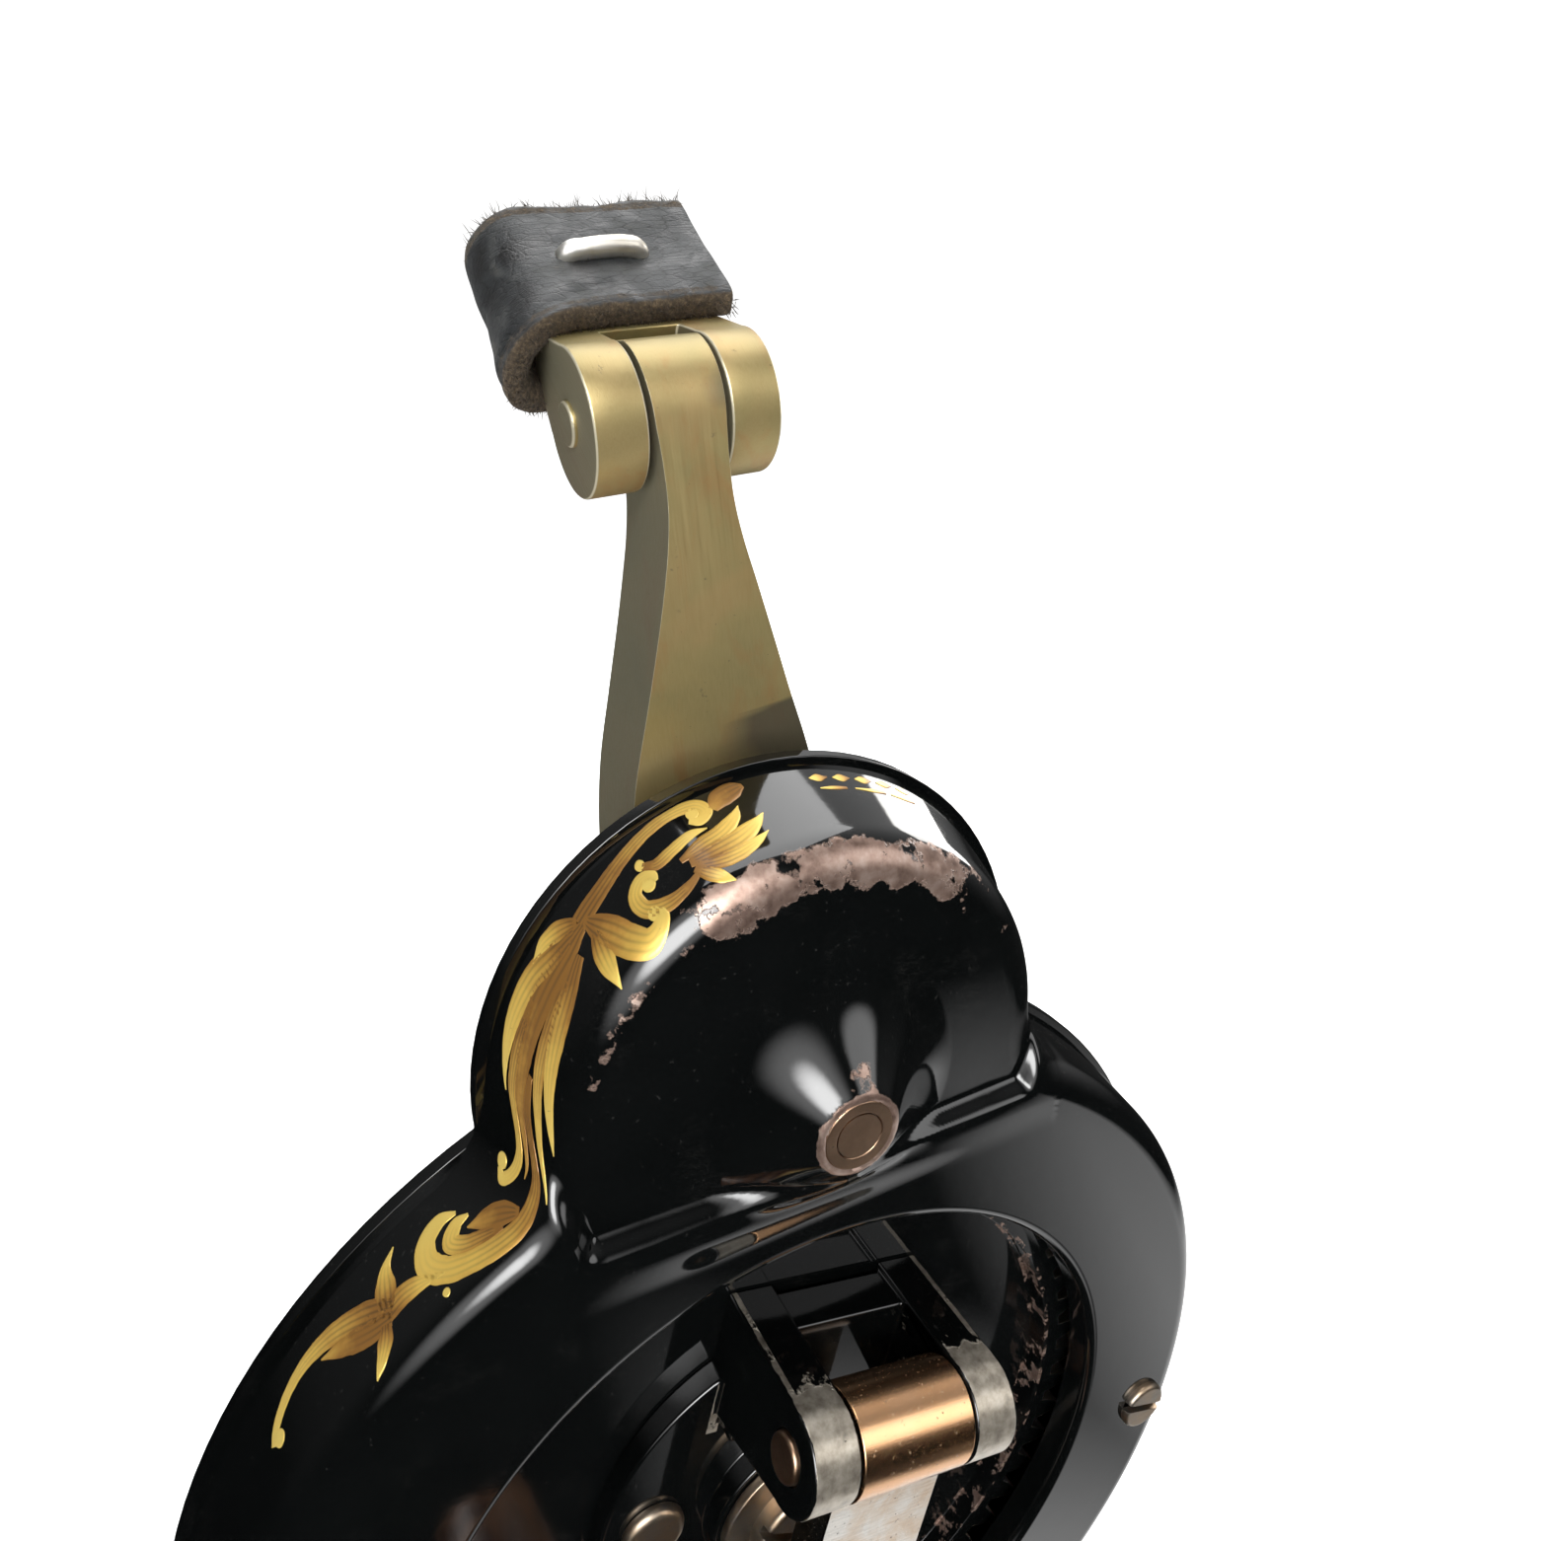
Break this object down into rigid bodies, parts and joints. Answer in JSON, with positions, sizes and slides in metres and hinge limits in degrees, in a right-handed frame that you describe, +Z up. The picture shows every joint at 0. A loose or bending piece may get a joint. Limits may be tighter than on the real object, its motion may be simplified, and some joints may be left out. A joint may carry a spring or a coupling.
{
  "type": "sewing machine hand crank drive",
  "caption": "Geared hand-crank drive unit for an antique sewing machine: round housing with a small dome, folding crank, wooden handle and a driver arm with a leather-wrapped finger.",
  "frame": {"origin": "centre of the bracket's rear mounting face", "axes": "+Y out of the mounting face towards the sewing machine, +Z up, +X to the right when facing the crank"},
  "size_m": [0.1046, 0.1339, 0.2186],
  "materials": {
    "japan": "black stoved japan varnish, glossy, with a gold scroll",
    "screw_steel": "aged blued steel",
    "bronze": "dull bronze",
    "gear_iron": "machined, oily",
    "polished_steel": "polished, slightly warm",
    "brass": "aged brass",
    "wood": "turned hardwood, dark varnish",
    "patina_steel": "satin steel with an olive-tan patina",
    "leather": "dark, creased, brown cut edges",
    "staple_wire": "bright drawn wire"
  },
  "bodies": {
    "frame": {"gear_housing": "japan", "back_plate": "japan", "mounting_bracket": "japan", "bracket_screws": "screw_steel", "housing_screws": "screw_steel", "axle_stud": "screw_steel", "axle_washer": "screw_steel", "axle_screw": "screw_steel", "front_bush": "bronze", "rear_bush": "bronze"},
    "crank": {"crank_gear": "gear_iron", "crank_hub": "japan", "hub_rivets": "screw_steel", "crank_hinge_pin": "polished_steel"},
    "folding_arm": {"crank_arm": "polished_steel", "handle_spindle": "screw_steel", "handle_washer": "polished_steel"},
    "handle": {"wooden_handle": "wood", "handle_ferrule": "brass"},
    "driver": {"pinion": "gear_iron", "pinion_shaft": "screw_steel", "driver_arm": "patina_steel", "arm_taper_pin": "screw_steel"},
    "finger": {"finger_fork": "patina_steel", "finger_hinge_pin": "polished_steel", "leather_pad": "leather", "pad_staple": "staple_wire"}
  },
  "joints": [
    {"name": "crank_spin", "type": "hinge", "parent": "frame", "child": "crank", "pos_m": [0, -0.054, 0.0385], "axis": [0, 1, 0], "continuous": true},
    {"name": "crank_fold", "type": "hinge", "parent": "crank", "child": "folding_arm", "pos_m": [0.00391, -0.0598, 0.05689], "axis": [-0.9781, 0, 0.2079], "range_deg": [0, 180]},
    {"name": "handle_spin", "type": "hinge", "parent": "folding_arm", "child": "handle", "pos_m": [-0.01954, -0.0598, -0.05345], "axis": [0, 1, 0], "continuous": true},
    {"name": "pinion_spin", "type": "hinge", "parent": "frame", "child": "driver", "pos_m": [0, -0.054, 0.08676], "axis": [0, 1, 0], "continuous": true},
    {"name": "finger_fold", "type": "hinge", "parent": "driver", "child": "finger", "pos_m": [-0.0071, -0.036, 0.13726], "axis": [0.9903, 0, 0.1392], "range_deg": [-40, 42]}
  ],
  "couplings": [
    {"joint": "pinion_spin", "follows": "crank_spin", "ratio": -3}
  ]
}
